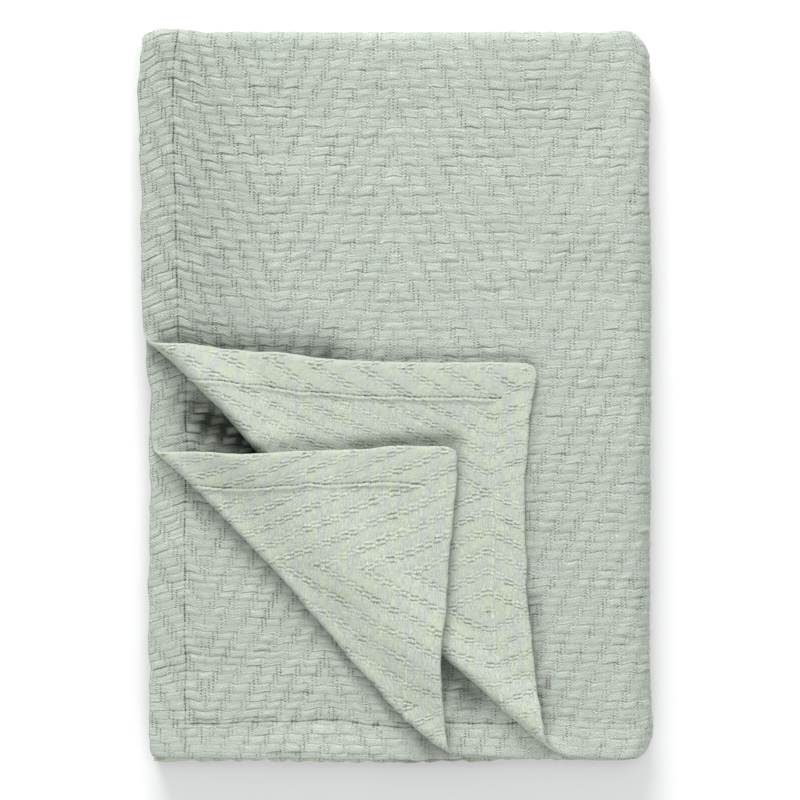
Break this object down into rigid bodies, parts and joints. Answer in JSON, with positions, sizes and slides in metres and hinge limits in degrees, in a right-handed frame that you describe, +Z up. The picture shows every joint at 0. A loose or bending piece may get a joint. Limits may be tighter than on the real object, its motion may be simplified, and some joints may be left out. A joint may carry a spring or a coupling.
{
  "type": "folded bedspread",
  "caption": "Quilted cotton bedspread folded into a flat rectangular bundle, with the corners of its upper layers turned up to show the reverse side and its sewn hems.",
  "frame": {"origin": "middle of the underside of the folded bundle", "axes": "+Z up, out of the surface it lies on; +Y towards the back edge, which is a fold; +X towards the right edge, which is the thick fold"},
  "size_m": [0.4538, 0.6453, 0.0623],
  "materials": {
    "cotton": "matt, crinkled matelasse weave in pale sage green"
  },
  "bodies": {
    "root": {"bedspread": "cotton"}
  },
  "joints": []
}
